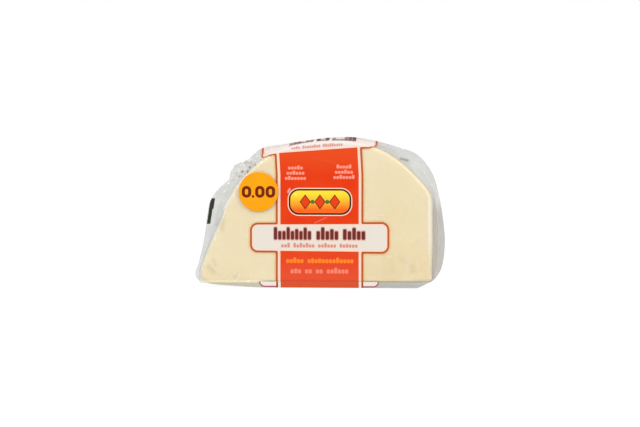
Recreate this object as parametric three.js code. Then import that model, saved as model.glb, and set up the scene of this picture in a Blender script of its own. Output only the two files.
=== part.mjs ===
// A half-moon piece of pale semi-hard cheese in a clear shrunken film pack, with a round price sticker.
// The pack stands on its flat cut side. Its half-moon face looks towards -Y. Millimetres, +Z up.

import * as THREE from 'three';

// The wrapped piece of cheese: two flat half-moon faces with rounded edges.
const THICKNESS = 23.8;
const EDGE_RADIUS = 2;
const FACE_BOTTOM = 3;
const FACE_RIGHT = 56.9;
const FACE_LEFT_FOOT = -58.6;
const SIDE_TOP = 43.7;
const LEFT_CORNER = 3;
const RIGHT_CORNER = 2.4;

// The arch of a face, from the top of its straight right side over to its slanting left side.
const ARCH = [
  [55.6, 48.5], [50, 55.4], [40.6, 64], [31.6, 69.4], [20, 72.9], [8, 73.9], [-5, 73],
  [-17.7, 70], [-28.3, 64.4], [-38.4, 54.8], [-45, 44.5], [-49.6, 32.5], [-54, 22.5], [-56.6, 13],
];

// The outer edge of the film, where its front and back are sealed at mid-depth.
const FILM_BASE_LEFT = -55;
const FILM_BASE_RIGHT = 49.5;
const FILM_EDGE = [
  [57, 2.6], [61.3, 8], [63.2, 16], [63.6, 25], [62.6, 35], [60.7, 46.2], [57.9, 56],
  [53.8, 62.7], [48.3, 67.7], [40, 70.6], [29, 73.8], [18, 75.7], [7, 75.6], [-4, 74.4], [-16, 72.6],
  [-29, 70.2], [-36, 64.7], [-44, 60.4], [-46.2, 54.5], [-51.6, 49.3], [-55.8, 43], [-57.5, 35],
  [-58.5, 27], [-60, 19], [-61.7, 12], [-63.6, 6.2], [-61, 2],
];
const SEAL_THICKNESS = 0.8;
const SEAL_ROOT = 0.55; // share of the margin where the film leaves the slope and the flat seal starts
const SLOPE_CURVE = 1.4; // above 1 the shrunken film hollows in between the cheese and the seal
const BASE_BLEND = 5; // height over which the flat base turns into the sealed margin

// The gathered, crumpled stretch of the seal at the upper left.
const GATHER_CENTRE = new THREE.Vector2(-41, 61.5);
const GATHER_REACH = 12;
const GATHER_FOLD = 3.6;
const GATHER_SWAY = 1.1;
const GATHER_NOTCH = 0.14; // deepest bite out of the edge, as a share of the margin
const NOTCH_RHYTHM = 1.7; // notches to one fold

// The price sticker, a thin paper disc that bends a little where it reaches the rounded edge.
const STICKER_CENTRE = new THREE.Vector2(-29.7, 48.2);
const STICKER_RADIUS = 9.9;
const STICKER_THICKNESS = 0.3;
const STICKER_GAP = 0.3;
const STICKER_BEND = 1;
const STICKER_SIDES = 48;

// Steps along the outline, and through the depth from a face to the seal.
const STEP = 3.2;
const GATHER_STEP = 0.9;
const ROUNDING_ANGLES = [0, 30, 60, 90];
const SLOPE_STEPS = [0.12, 0.35, 0.65, 1];
const FILM_SAMPLES = 600;

const HUB = new THREE.Vector2(0, 28); // point inside the outline from which the margin spreads

function toVectors(points) {
  return points.map(([x, z]) => new THREE.Vector2(x, z));
}

function faceOutline() {
  const path = new THREE.Path();
  path.moveTo(FACE_LEFT_FOOT + LEFT_CORNER, FACE_BOTTOM);
  path.lineTo(FACE_RIGHT - RIGHT_CORNER, FACE_BOTTOM);
  path.absarc(FACE_RIGHT - RIGHT_CORNER, FACE_BOTTOM + RIGHT_CORNER, RIGHT_CORNER, -Math.PI / 2, 0);
  path.lineTo(FACE_RIGHT, SIDE_TOP);
  path.splineThru(toVectors([...ARCH, [FACE_LEFT_FOOT, FACE_BOTTOM + LEFT_CORNER]]));
  path.quadraticCurveTo(FACE_LEFT_FOOT, FACE_BOTTOM, FACE_LEFT_FOOT + LEFT_CORNER, FACE_BOTTOM);
  return path;
}

function filmOutline() {
  const path = new THREE.Path();
  path.moveTo(FILM_BASE_LEFT, 0);
  path.lineTo(FILM_BASE_RIGHT, 0);
  path.splineThru(toVectors([...FILM_EDGE, [FILM_BASE_LEFT, 0]]));
  return path;
}

function gatherShare(point) {
  return Math.exp(-((point.distanceTo(GATHER_CENTRE) / GATHER_REACH) ** 2));
}

// Points along the face outline, closer together where the seal is gathered.
function outlinePoints(path) {
  const length = path.getLength();
  const points = [];
  let travelled = 0;
  while (travelled < length - STEP / 2) {
    const point = path.getPointAt(travelled / length);
    points.push(point);
    travelled += THREE.MathUtils.lerp(STEP, GATHER_STEP, Math.min(1, 1.6 * gatherShare(point)));
  }
  return points;
}

// Where the ray from the hub through a point meets a closed line of points.
function rayHit(point, line) {
  const ray = point.clone().sub(HUB).normalize();
  for (let i = 0; i < line.length; i += 1) {
    const from = line[i].clone().sub(HUB);
    const along = line[(i + 1) % line.length].clone().sub(HUB).sub(from);
    const turn = ray.cross(along);
    const share = from.cross(ray) / turn;
    const reach = from.cross(along) / turn;
    if (share >= 0 && share < 1 && reach > 0) {
      return HUB.clone().addScaledVector(ray, reach);
    }
  }
  throw new Error('the outline does not close round the hub');
}

function inwardNormal(points, i) {
  const before = points[(i + points.length - 1) % points.length];
  const after = points[(i + 1) % points.length];
  const along = after.clone().sub(before).normalize();
  return new THREE.Vector2(-along.y, along.x);
}

// A line from the face through the rounded edge and the slope to the sealed lip, as points from front to seal.
function depthProfile(face, inward, seal, gather) {
  const profile = [];
  const edgeDepth = THICKNESS / 2 - EDGE_RADIUS;
  for (const degrees of ROUNDING_ANGLES) {
    const angle = THREE.MathUtils.degToRad(degrees);
    const inset = face.clone().addScaledVector(inward, EDGE_RADIUS * (1 - Math.sin(angle)));
    profile.push([inset, edgeDepth + EDGE_RADIUS * Math.cos(angle)]);
  }
  const based = 1 - THREE.MathUtils.smoothstep(seal.y, 0, BASE_BLEND);
  for (const step of SLOPE_STEPS) {
    const share = THREE.MathUtils.lerp(SEAL_ROOT * step ** SLOPE_CURVE, 1, based);
    const depth = THREE.MathUtils.lerp(edgeDepth, SEAL_THICKNESS / 2, step);
    profile.push([face.clone().lerp(seal, share), depth]);
  }
  profile.push([seal.clone().lerp(face, gather.notch), SEAL_THICKNESS / 2]);
  return profile;
}

// How far the seal sways out of its plane and how much is bitten out of it, at a distance along it.
function gatherAt(seal, travelled) {
  const share = gatherShare(seal);
  const phase = (2 * Math.PI * travelled) / GATHER_FOLD;
  return {
    sway: GATHER_SWAY * share * Math.sin(phase),
    notch: (GATHER_NOTCH * share * (1 + Math.cos(NOTCH_RHYTHM * phase))) / 2,
  };
}

// A closed body of rings with equal numbers of points, from front to back, with a flat cap at each end.
function closedBody(rings) {
  const count = rings[0].length;
  const positions = rings.flat().flatMap((point) => point.toArray());
  const index = [];
  const cap = THREE.ShapeUtils.triangulateShape(rings[0].map((p) => new THREE.Vector2(p.x, p.z)), []);
  const last = (rings.length - 1) * count;
  for (const [a, b, c] of cap) {
    index.push(a, b, c);
    index.push(last + a, last + c, last + b);
  }
  for (let ring = 0; ring < rings.length - 1; ring += 1) {
    for (let i = 0; i < count; i += 1) {
      const a = ring * count + i;
      const next = ring * count + ((i + 1) % count);
      index.push(a, a + count, next);
      index.push(next, a + count, next + count);
    }
  }
  const geometry = new THREE.BufferGeometry();
  geometry.setAttribute('position', new THREE.Float32BufferAttribute(positions, 3));
  geometry.setIndex(index);
  geometry.computeVertexNormals();
  return geometry;
}

function packGeometry(face) {
  const film = filmOutline().getSpacedPoints(FILM_SAMPLES).slice(1);
  const columns = [];
  let travelled = 0;
  let previous = null;
  face.forEach((point, i) => {
    const seal = rayHit(point, film);
    travelled += previous ? seal.distanceTo(previous) : 0;
    previous = seal;
    const gather = gatherAt(seal, travelled);
    const profile = depthProfile(point, inwardNormal(face, i), seal, gather);
    const whole = [...profile.map(([p, depth]) => [p, -depth]), ...profile.toReversed()];
    const margin = point.distanceTo(seal);
    const sway = (p) => gather.sway * Math.max(0, 1 - p.distanceTo(seal) / margin);
    columns.push(whole.map(([p, y]) => new THREE.Vector3(p.x, y + sway(p), p.y)));
  });
  const rings = columns[0].map((_, ring) => columns.map((column) => column[ring]));
  return closedBody(rings);
}

// How far the rounded edge has dropped behind the flat face at a point.
function edgeDrop(point, face) {
  let nearest = Infinity;
  for (let i = 0; i < face.length; i += 1) {
    const a = face[i];
    const along = face[(i + 1) % face.length].clone().sub(a);
    const share = THREE.MathUtils.clamp(point.clone().sub(a).dot(along) / along.lengthSq(), 0, 1);
    nearest = Math.min(nearest, point.distanceTo(a.clone().addScaledVector(along, share)));
  }
  const out = Math.max(0, EDGE_RADIUS - nearest);
  return Math.min(STICKER_BEND, EDGE_RADIUS - Math.sqrt(EDGE_RADIUS ** 2 - out ** 2));
}

function stickerGeometry(face) {
  const under = -THICKNESS / 2 - STICKER_GAP;
  const bottom = [];
  const top = [];
  for (let i = 0; i < STICKER_SIDES; i += 1) {
    const angle = (2 * Math.PI * i) / STICKER_SIDES;
    const spoke = new THREE.Vector2(Math.cos(angle), Math.sin(angle)).multiplyScalar(STICKER_RADIUS);
    const point = STICKER_CENTRE.clone().add(spoke);
    const y = under + edgeDrop(point, face);
    bottom.push(new THREE.Vector3(point.x, y, point.y));
    top.push(new THREE.Vector3(point.x, y - STICKER_THICKNESS, point.y));
  }
  return closedBody([top, bottom]);
}

function part(name, geometry, colour, roughness) {
  const material = new THREE.MeshStandardMaterial({ color: colour, roughness, metalness: 0 });
  const mesh = new THREE.Mesh(geometry, material);
  mesh.name = name;
  return mesh;
}

const face = outlinePoints(faceOutline());
const model = new THREE.Group();
model.add(part('cheese_pack', packGeometry(face), 0xf0e2be, 0.25));
model.add(part('price_sticker', stickerGeometry(face), 0xfcad1b, 0.55));

// The origin is the middle of the base.
const box = new THREE.Box3().setFromObject(model);
model.position.set(-(box.min.x + box.max.x) / 2, -(box.min.y + box.max.y) / 2, -box.min.z);

export default model;
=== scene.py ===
import math

import bpy
import numpy as np
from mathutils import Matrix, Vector, noise


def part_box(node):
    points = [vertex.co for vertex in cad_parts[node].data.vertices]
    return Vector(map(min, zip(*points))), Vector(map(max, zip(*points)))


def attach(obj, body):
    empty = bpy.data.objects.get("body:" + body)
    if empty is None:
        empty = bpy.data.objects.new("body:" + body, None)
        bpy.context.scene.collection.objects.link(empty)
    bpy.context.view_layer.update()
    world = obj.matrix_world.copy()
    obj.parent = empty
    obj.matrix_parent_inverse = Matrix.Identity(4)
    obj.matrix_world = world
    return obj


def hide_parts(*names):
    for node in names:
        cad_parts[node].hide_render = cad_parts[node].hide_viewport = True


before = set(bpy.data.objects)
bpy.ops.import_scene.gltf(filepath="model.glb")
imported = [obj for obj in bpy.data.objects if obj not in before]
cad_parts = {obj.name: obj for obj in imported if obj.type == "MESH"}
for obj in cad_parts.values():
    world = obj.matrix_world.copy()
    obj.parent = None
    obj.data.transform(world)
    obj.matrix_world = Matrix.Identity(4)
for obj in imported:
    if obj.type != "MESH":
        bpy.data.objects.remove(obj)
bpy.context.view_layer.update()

# The looks of a half-moon piece of cheese in a clear printed film pack with a round price sticker.
# Lengths below are in millimetres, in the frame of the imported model; MM turns them into metres.
MM = 0.001

# ---------------------------------------------------------------- driving dimensions

PACK_LOW, PACK_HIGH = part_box("cheese_pack")
MID_Y = (PACK_LOW.y + PACK_HIGH.y) / 2 / MM  # depth at which the front and back film are sealed
HALF_DEPTH = (PACK_HIGH.y - PACK_LOW.y) / 2 / MM

EDGE_RADIUS = 2.0
FACE_BOTTOM = 3.0
FACE_RIGHT = 56.9
FACE_LEFT_FOOT = -58.6
SIDE_TOP = 43.7
LEFT_CORNER = 3.0
RIGHT_CORNER = 2.4
ARCH = [
    (55.6, 48.5), (50, 55.4), (40.6, 64), (31.6, 69.4), (20, 72.9), (8, 73.9), (-5, 73),
    (-17.7, 70), (-28.3, 64.4), (-38.4, 54.8), (-45, 44.5), (-49.6, 32.5), (-54, 22.5), (-56.6, 13),
]
FILM_BASE_LEFT = -55.0
FILM_BASE_RIGHT = 49.5
FILM_EDGE = [
    (57, 2.6), (61.3, 8), (63.2, 16), (63.6, 25), (62.6, 35), (60.7, 46.2), (57.9, 56),
    (53.8, 62.7), (48.3, 67.7), (40, 70.6), (29, 73.8), (18, 75.7), (7, 75.6), (-4, 74.4), (-16, 72.6),
    (-29, 70.2), (-36, 64.7), (-44, 60.4), (-46.2, 54.5), (-51.6, 49.3), (-55.8, 43), (-57.5, 35),
    (-58.5, 27), (-60, 19), (-61.7, 12), (-63.6, 6.2), (-61, 2),
]
HUB = (0.0, 28.0)
SEAL_ROOT = 0.55
SLOPE_CURVE = 1.4
BASE_BLEND = 5.0
GATHER_CENTRE = (-41.0, 61.5)
GATHER_REACH = 12.0
STICKER_CENTRE = (-29.7, 48.2)
STICKER_RADIUS = 9.9

# ---------------------------------------------------------------- camera

PHOTO_WIDTH = 640
CAMERA_DISTANCE = 900.0
CAMERA_AZIMUTH = 4.0
CAMERA_ELEVATION = 2.0
MM_PER_PIXEL = 0.5
SENSOR = 36.0
AIM_X = 1.15
AIM_Z = 37.4


def make_camera():
    azimuth = math.radians(CAMERA_AZIMUTH)
    elevation = math.radians(CAMERA_ELEVATION)
    away = Vector((math.sin(azimuth) * math.cos(elevation), -math.cos(azimuth) * math.cos(elevation),
                   math.sin(elevation)))
    aim = Vector((AIM_X, MID_Y - HALF_DEPTH, AIM_Z)) * MM
    data = bpy.data.cameras.new("camera")
    data.sensor_fit = "HORIZONTAL"
    data.sensor_width = SENSOR
    data.lens = CAMERA_DISTANCE / MM_PER_PIXEL * SENSOR / PHOTO_WIDTH
    camera = bpy.data.objects.new("camera", data)
    camera.location = aim + away * CAMERA_DISTANCE * MM
    camera.rotation_euler = (-away).to_track_quat("-Z", "Y").to_euler()
    bpy.context.scene.collection.objects.link(camera)
    bpy.context.scene.camera = camera


# ---------------------------------------------------------------- outlines

def spline(points, steps=24):
    """A smooth curve through the points, without its last point."""
    points = np.array(points, float)
    last = len(points) - 1
    curve = []
    for i in range(last):
        before, after = points[max(i - 1, 0)], points[min(i + 2, last)]
        start, end = points[i], points[i + 1]
        leave = (end - before) / 2
        arrive = (after - start) / 2
        for t in np.linspace(0, 1, steps, endpoint=False):
            curve.append((2 * start - 2 * end + leave + arrive) * t ** 3
                         + (3 * end - 3 * start - 2 * leave - arrive) * t ** 2 + leave * t + start)
    return curve


def face_outline():
    turn = [(FACE_RIGHT - RIGHT_CORNER * (1 - math.sin(a)), FACE_BOTTOM + RIGHT_CORNER * (1 - math.cos(a)))
            for a in np.linspace(0, math.pi / 2, 8)]
    foot = [(FACE_LEFT_FOOT + LEFT_CORNER * t * t, FACE_BOTTOM + LEFT_CORNER * (1 - t) ** 2)
            for t in np.linspace(0, 1, 8, endpoint=False)]
    side = (FACE_RIGHT, SIDE_TOP)
    arch = spline([side] + ARCH + [(FACE_LEFT_FOOT, FACE_BOTTOM + LEFT_CORNER)])
    return np.array([(FACE_LEFT_FOOT + LEFT_CORNER, FACE_BOTTOM)] + turn + [tuple(p) for p in arch] + foot)


def film_outline():
    base_left = (FILM_BASE_LEFT, 0.0)
    base_right = (FILM_BASE_RIGHT, 0.0)
    return np.array([base_left] + [tuple(p) for p in spline([base_right] + FILM_EDGE + [base_left])])


def even(line, count):
    """The closed line as this many points with equal distances."""
    closed = np.vstack([line, line[:1]])
    travelled = np.concatenate([[0], np.cumsum(np.linalg.norm(np.diff(closed, axis=0), axis=1))])
    wanted = np.linspace(0, travelled[-1], count, endpoint=False)
    return np.column_stack([np.interp(wanted, travelled, closed[:, k]) for k in (0, 1)])


def reach(line, points):
    """For each point, where the ray from the hub through it meets the closed line."""
    spokes = line - HUB
    angles = np.arctan2(spokes[:, 1], spokes[:, 0])
    order = np.argsort(angles)
    ways = points - HUB
    radii = np.interp(np.arctan2(ways[:, 1], ways[:, 0]), angles[order],
                      np.hypot(spokes[:, 0], spokes[:, 1])[order], period=2 * math.pi)
    return HUB + ways / np.linalg.norm(ways, axis=1)[:, None] * radii[:, None]


def inward(points):
    along = np.roll(points, -1, axis=0) - np.roll(points, 1, axis=0)
    along /= np.linalg.norm(along, axis=1)[:, None]
    return np.column_stack([-along[:, 1], along[:, 0]])


def smoothstep(x, low, high):
    t = np.clip((x - low) / (high - low), 0, 1)
    return t * t * (3 - 2 * t)


FOOT_DROP = 0.9  # how much lower the face reaches on the left
FOOT_DROP_X = (24, 32)  # distances to the left over which the drop sets in
FOOT_DROP_Z = (3, 9)  # heights over which it fades
FOOT_SPREAD = 1.8  # how much further its left foot reaches out
FOOT_SPREAD_X = (48, 57)
FOOT_SPREAD_LOW = (2, 6)
FOOT_SPREAD_HIGH = (10, 28)
FOOT_SOFT_X = (46, 52)  # where the left foot is smoothed
FOOT_SOFT_Z = (8, 16)
FOOT_LIFT = 1.75  # how far the base curves up at its left end
FOOT_LIFT_START = -26.0
FOOT_LIFT_END = -55.0
FOOT_LIFT_CURVE = 1.5
OUTLINE_POINTS = 1200
FOOT_ROUNDS = 90  # rounds of smoothing that soften the left foot


def face_points(count):
    """The face's outline, with the soft left foot of the real piece."""
    points = even(face_outline(), OUTLINE_POINTS)
    x, z = points.T
    drop = FOOT_DROP * smoothstep(-x, *FOOT_DROP_X) * (1 - smoothstep(z, *FOOT_DROP_Z))
    spread = FOOT_SPREAD * smoothstep(-x, *FOOT_SPREAD_X) * (1 - smoothstep(z, *FOOT_SPREAD_HIGH))
    points = points - np.column_stack([spread * smoothstep(z, *FOOT_SPREAD_LOW), drop])
    x, z = points.T
    foot = (smoothstep(-x, *FOOT_SOFT_X) * (1 - smoothstep(z, *FOOT_SOFT_Z)))[:, None]
    for _ in range(FOOT_ROUNDS):
        points += foot * ((np.roll(points, 1, axis=0) + np.roll(points, -1, axis=0)) / 2 - points)
    return even(points, count)


def base_height(x):
    """How high the base lies over the floor."""
    share = np.clip((x - FOOT_LIFT_START) / (FOOT_LIFT_END - FOOT_LIFT_START), 0, 1)
    return FOOT_LIFT * share ** FOOT_LIFT_CURVE


# ---------------------------------------------------------------- meshes

def lofted(name, rings, front_hub, back_hub):
    """A closed mesh of rings from front to back, each an array of points, with a hub at each end."""
    count = len(rings[0])
    points = np.vstack([np.array([front_hub])] + rings + [np.array([back_hub])]) * MM
    last = len(points) - 1
    faces = [(0, 1 + i, 1 + (i + 1) % count) for i in range(count)]
    for ring in range(len(rings) - 1):
        start = 1 + ring * count
        faces += [(start + i, start + count + i, start + count + (i + 1) % count, start + (i + 1) % count)
                  for i in range(count)]
    start = 1 + (len(rings) - 1) * count
    faces += [(last, start + (i + 1) % count, start + i) for i in range(count)]
    mesh = bpy.data.meshes.new(name)
    mesh.from_pydata([tuple(p) for p in points], [], faces)
    mesh.shade_smooth()
    piece = bpy.data.objects.new(name, mesh)
    bpy.context.scene.collection.objects.link(piece)
    return piece


def ring_at(flat, y):
    """Points (x, z) at a depth y, which is one number or one for each point."""
    return np.column_stack([flat[:, 0], np.broadcast_to(y, len(flat)), flat[:, 1]])


def places_of(mesh):
    places = np.zeros(len(mesh.vertices) * 3)
    mesh.vertices.foreach_get("co", places)
    return places.reshape(-1, 3) / MM


def normals_of(mesh):
    return np.array([tuple(v.normal) for v in mesh.vertices])


def move_to(mesh, places):
    mesh.vertices.foreach_set("co", (places * MM).ravel())
    mesh.update()


def noise_at(points, scale, seed):
    """Smooth noise between about -1 and 1, with scale in features to a millimetre."""
    return np.array([noise.noise(Vector(p) * scale + Vector((seed, -seed, seed))) for p in points])


# ---------------------------------------------------------------- cheese

CHEESE_INSET = 0.38
CHEESE_HALF_DEPTH = HALF_DEPTH - 0.5
CHEESE_RADIUS = 1.7
CHEESE_BASE_RADIUS = 1.0
CHEESE_BULGE = 0.45  # how far the rind swells between its two edges
CHEESE_BULGE_Z = (30, 60)  # heights over which the swelling sets in
CHEESE_SINK = 2.6  # how far the underside lies below the lower edges
CHEESE_SINK_START = (-0.06, 0.3)  # how soon behind a lower edge the underside sinks
CHEESE_CLEARANCE = 0.5  # room between the underside and the film of the base
CHEESE_LOW = (FACE_BOTTOM + 1, FACE_BOTTOM + 4)  # heights over which the underside turns into the rind
CHEESE_LEVEL = (0.5, 0.95)  # how level the outline is on the underside
CHEESE_LOW_FADE = 3  # half the width over which the underside ends on the left and right
CHEESE_DENTS = 0.12
CHEESE_COLUMNS = 360
CUT_SHARES = (0.1, 0.2, 0.3, 0.4, 0.5, 0.6, 0.7, 0.8, 0.88, 0.95)  # rings of a cut face, from its middle
RIND_SHARES = (0.96, 0.9, 0.82, 0.7, 0.5, 0.25, 0)  # rings of the rind, from its front edge to mid-depth
ROUND = np.linspace(0, math.pi / 2, 7)  # angles over a rounded edge


def make_cheese():
    outline = face_points(CHEESE_COLUMNS)
    normal = inward(outline)
    outline = outline + normal * CHEESE_INSET
    x, z = outline.T
    low = (1 - smoothstep(z, *CHEESE_LOW)) * smoothstep(normal[:, 1], *CHEESE_LEVEL)
    low = low * smoothstep(x, FILM_BASE_LEFT - CHEESE_LOW_FADE, FILM_BASE_LEFT + CHEESE_LOW_FADE)
    low = low * smoothstep(-x, -FILM_BASE_RIGHT - CHEESE_LOW_FADE, -FILM_BASE_RIGHT + CHEESE_LOW_FADE)
    radius = CHEESE_RADIUS + (CHEESE_BASE_RADIUS - CHEESE_RADIUS) * low
    sink = low * np.clip(z - base_height(x) - CHEESE_CLEARANCE, 0, CHEESE_SINK)
    arch = smoothstep(z, *CHEESE_BULGE_Z)
    edge = outline + normal * radius[:, None]
    rings = [ring_at(HUB + (edge - HUB) * share, -CHEESE_HALF_DEPTH) for share in CUT_SHARES]
    for angle in ROUND:
        flat = outline + normal * (radius * (1 - math.sin(angle)))[:, None]
        rings.append(ring_at(flat, -CHEESE_HALF_DEPTH + radius * (1 - math.cos(angle))))
    for share in RIND_SHARES:
        out = arch * CHEESE_BULGE * math.cos(share * math.pi / 2)
        out = out + sink * smoothstep(1 - share, *CHEESE_SINK_START)
        rings.append(ring_at(outline - normal * out[:, None], -(CHEESE_HALF_DEPTH - radius) * share))
    rings += [ring * (1, -1, 1) for ring in rings[-2::-1]]
    rings = [ring + (0, MID_Y, 0) for ring in rings]
    piece = lofted("cheese", rings, (HUB[0], MID_Y - CHEESE_HALF_DEPTH, HUB[1]),
                   (HUB[0], MID_Y + CHEESE_HALF_DEPTH, HUB[1]))
    places = places_of(piece.data)
    dents = np.minimum(noise_at(places, 0.09, 5) + 0.4 * noise_at(places, 0.3, 9), 0)
    move_to(piece.data, places + normals_of(piece.data) * (CHEESE_DENTS * dents)[:, None])
    return piece


# ---------------------------------------------------------------- film

FILM_COLUMNS = 880
FILM_INSET = 0.3  # how far the calm film lies inside the solid, which leaves room for its creases
FILM_SEAL = 0.3
FILM_LIFT = 0.05
FILM_BASE_RADIUS = 1.1
FRONT_SHARES = [1 - (1 - t) ** 1.6 for t in np.linspace(0.04, 0.97, 34)]
BACK_SHARES = FRONT_SHARES[::3]
SLOPE_TRAVEL = [0.04, 0.08] + list(np.linspace(0.14, 1, 13))
LIP_TRAVEL = (0.2, 0.4, 0.6, 0.8, 1)
SEAL_INSET = 0.08
EDGE_WAVER = 0.1  # how unevenly the sealed edge was cut
EDGE_WAVER_SCALE = 0.21
MARGIN_SWAY = 0.6
MARGIN_SWAY_SCALE = 0.11
FACE_WAVE = 0.07  # height of the wide shallow waves in the film
FACE_WAVE_SCALE = 0.07
RELIEF_SPARE = 0.03  # how much of the inset the relief leaves free
MARGIN_ROOM = 0.25  # how high the relief may be in the margin, as a share of its width
CALM_BASE = (1, 6)  # heights over which the waves, pleats and sway set in
BASE_LIFT_FADE = (0.1, 2.7)  # heights over which the lift of the base fades
STATION_START = 23.4  # where the folds begin along the sealed edge
PLEAT_WIDTH = 4.5
PLEAT_HEIGHT = 0.22
PLEAT_FULL = 5  # margin width from which the pleats have their full height
GATHER_PLEATS = 0.45  # how much higher the pleats are near the gathered stretch

# The crushed stretch at the upper left: size and height of its facets, and how far they shift sideways.
CRUSH_FACETS = ((4.2, 2.6), (1.9, 1.0))
CRUSH_PLATEAU = 0.5  # distance from a ridge, in facets, beyond which a facet is level
CRUSH_MIDDLE = 0.2
CRUSH_SHIFT = 0.7
CRUSH_SHIFT_SCALE = 0.5
CRUSH_SEED = 1795535397  # picks the sideways shifts, so that they are the same in each run
CRUSH_MARGIN = (0.02, 0.5)  # shares of the margin over which the crushing sets in
CRUSH_LEAST = 0.02

# Creases of the front film: x and z of both ends, height and half width. Ridges get a painted highlight, and
# hollows get painted shade.
CREASES = [
    (-54.1, 15.3, -52.7, 11.9, 0.07, 0.9), (-52.6, 13.5, -51.5, 11.3, -0.07, 1.0),
    (-53.5, 10.6, -51.5, 8.7, 0.05, 0.9), (-55.2, 10.7, -52.5, 8.1, -0.08, 1.5),
    (-40.6, 6.9, -42.1, 5.0, -0.07, 0.8), (-39.4, 6.7, -41.2, 4.1, 0.12, 0.8),
    (-42.0, 7.4, -41.8, 7.1, 0.12, 0.8), (-34.9, 3.7, -34.8, 3.4, 0.2, 0.8),
    (-35.1, 17.3, -32.0, 15.9, 0.07, 0.8), (-47.8, 35.3, -48.2, 29.0, -0.07, 1.5),
    (-51.8, 27.3, -51.2, 22.8, 0.08, 0.9), (-47.3, 39.9, -42.9, 45.3, 0.12, 1.3),
    (30.5, 12.0, 31.1, 7.0, 0.055, 1.9), (32.6, 12.0, 33.2, 7.0, -0.02, 1.8),
    (42.0, 14.4, 43.0, 13.2, -0.04, 2.2), (44.6, 12.6, 43.9, 7.0, 0.06, 2.0),
    (47.2, 11.2, 47.8, 8.8, -0.04, 1.9), (45.4, 15.3, 44.8, 13.0, 0.05, 1.5),
    (36.0, 14.0, 37.4, 6.0, -0.025, 3.2), (46.4, 5.4, 48.6, 6.4, 0.05, 1.6),
    (29.6, 36.4, 32.9, 36.6, 0.07, 0.8), (35.0, 16.0, 36.0, 15.8, 0.08, 0.9),
    (-2.9, 65.6, 9.1, 62.6, 0.006, 0.4), (-14.1, 49.5, -14.8, 48.2, 0.16, 0.6),
    (-11.3, 47.0, -10.9, 46.6, 0.1, 0.5), (4.4, 35.4, -1.6, 32.6, 0.05, 0.3),
]


def ridge(x, z, crease):
    x0, z0, x1, z1, height, width = crease
    along = np.array([x1 - x0, z1 - z0])
    share = np.clip(((x - x0) * along[0] + (z - z0) * along[1]) / (along @ along), 0, 1)
    off = np.hypot(x - x0 - share * along[0], z - z0 - share * along[1])
    taper = np.sin(math.pi * np.clip(share * 0.8 + 0.1, 0, 1))
    return height * taper * np.exp(-((off / width) ** 2))


class Sheet:
    """The rings of the front film (side -1) or the back film (side 1), from its middle to its sealed edge."""

    def __init__(self, side, shares):
        self.side = side
        self.rings = []
        self.margins = []  # for each ring, how far out its points lie between the face and the sealed edge
        outline = face_points(FILM_COLUMNS)
        normal = inward(outline)
        self.outline = outline + normal * (FILM_INSET / 2)
        seal = reach(even(film_outline(), OUTLINE_POINTS), self.outline)
        step = np.linalg.norm(seal - np.roll(seal, 1, axis=0), axis=1)
        self.station = np.cumsum(step) + STATION_START  # distance along the sealed edge
        self.based = 1 - smoothstep(seal[:, 1], 0, BASE_BLEND)
        along = np.column_stack([self.station, 0 * step, 0 * step])
        waver = EDGE_WAVER * (noise_at(along, EDGE_WAVER_SCALE, 3) + 0.6)
        inset = (SEAL_INSET + np.maximum(waver, 0)) * smoothstep(seal[:, 1], 0, 1)
        self.seal = seal + inward(seal) * inset[:, None]
        self.width = np.linalg.norm(self.seal - self.outline, axis=1)

        depth = HALF_DEPTH - FILM_INSET
        radius = EDGE_RADIUS + (FILM_BASE_RADIUS - EDGE_RADIUS) * self.based
        edge = self.outline + normal * radius[:, None]
        for share in shares:
            self.add(HUB + (edge - HUB) * share, depth, 0)
        for angle in ROUND:
            flat = self.outline + normal * (radius * (1 - math.sin(angle)))[:, None]
            self.add(flat, depth - radius * (1 - math.cos(angle)), 0)
        for travel in SLOPE_TRAVEL:
            under = smoothstep(travel, -0.02, 0.04)
            share = SEAL_ROOT * travel ** SLOPE_CURVE * (1 - self.based) + self.based * under
            self.add_margin(share, depth - radius + (FILM_SEAL / 2 - depth + radius) * travel)
        for lip in LIP_TRAVEL:
            share = (SEAL_ROOT + (1 - SEAL_ROOT) * lip) * (1 - self.based) + self.based
            self.add_margin(share, FILM_SEAL / 2)

    def add(self, flat, depth, margin):
        self.rings.append(ring_at(flat, MID_Y + self.side * depth) + (0, 0, FILM_LIFT))
        self.margins.append(np.broadcast_to(margin, len(flat)))

    def add_margin(self, share, depth):
        flat = self.outline + (self.seal - self.outline) * share[:, None]
        self.add(flat, depth, share * (1 - self.based))


def crushed(x, z):
    """Relief of crushed film: ridges between uneven facets of two sizes."""
    total = 0.0
    for size, height in CRUSH_FACETS:
        near = noise.voronoi(Vector((x / size, z / size, size)))[0]
        total += height * (min(near[1] - near[0], CRUSH_PLATEAU) - CRUSH_MIDDLE)
    return total


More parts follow.
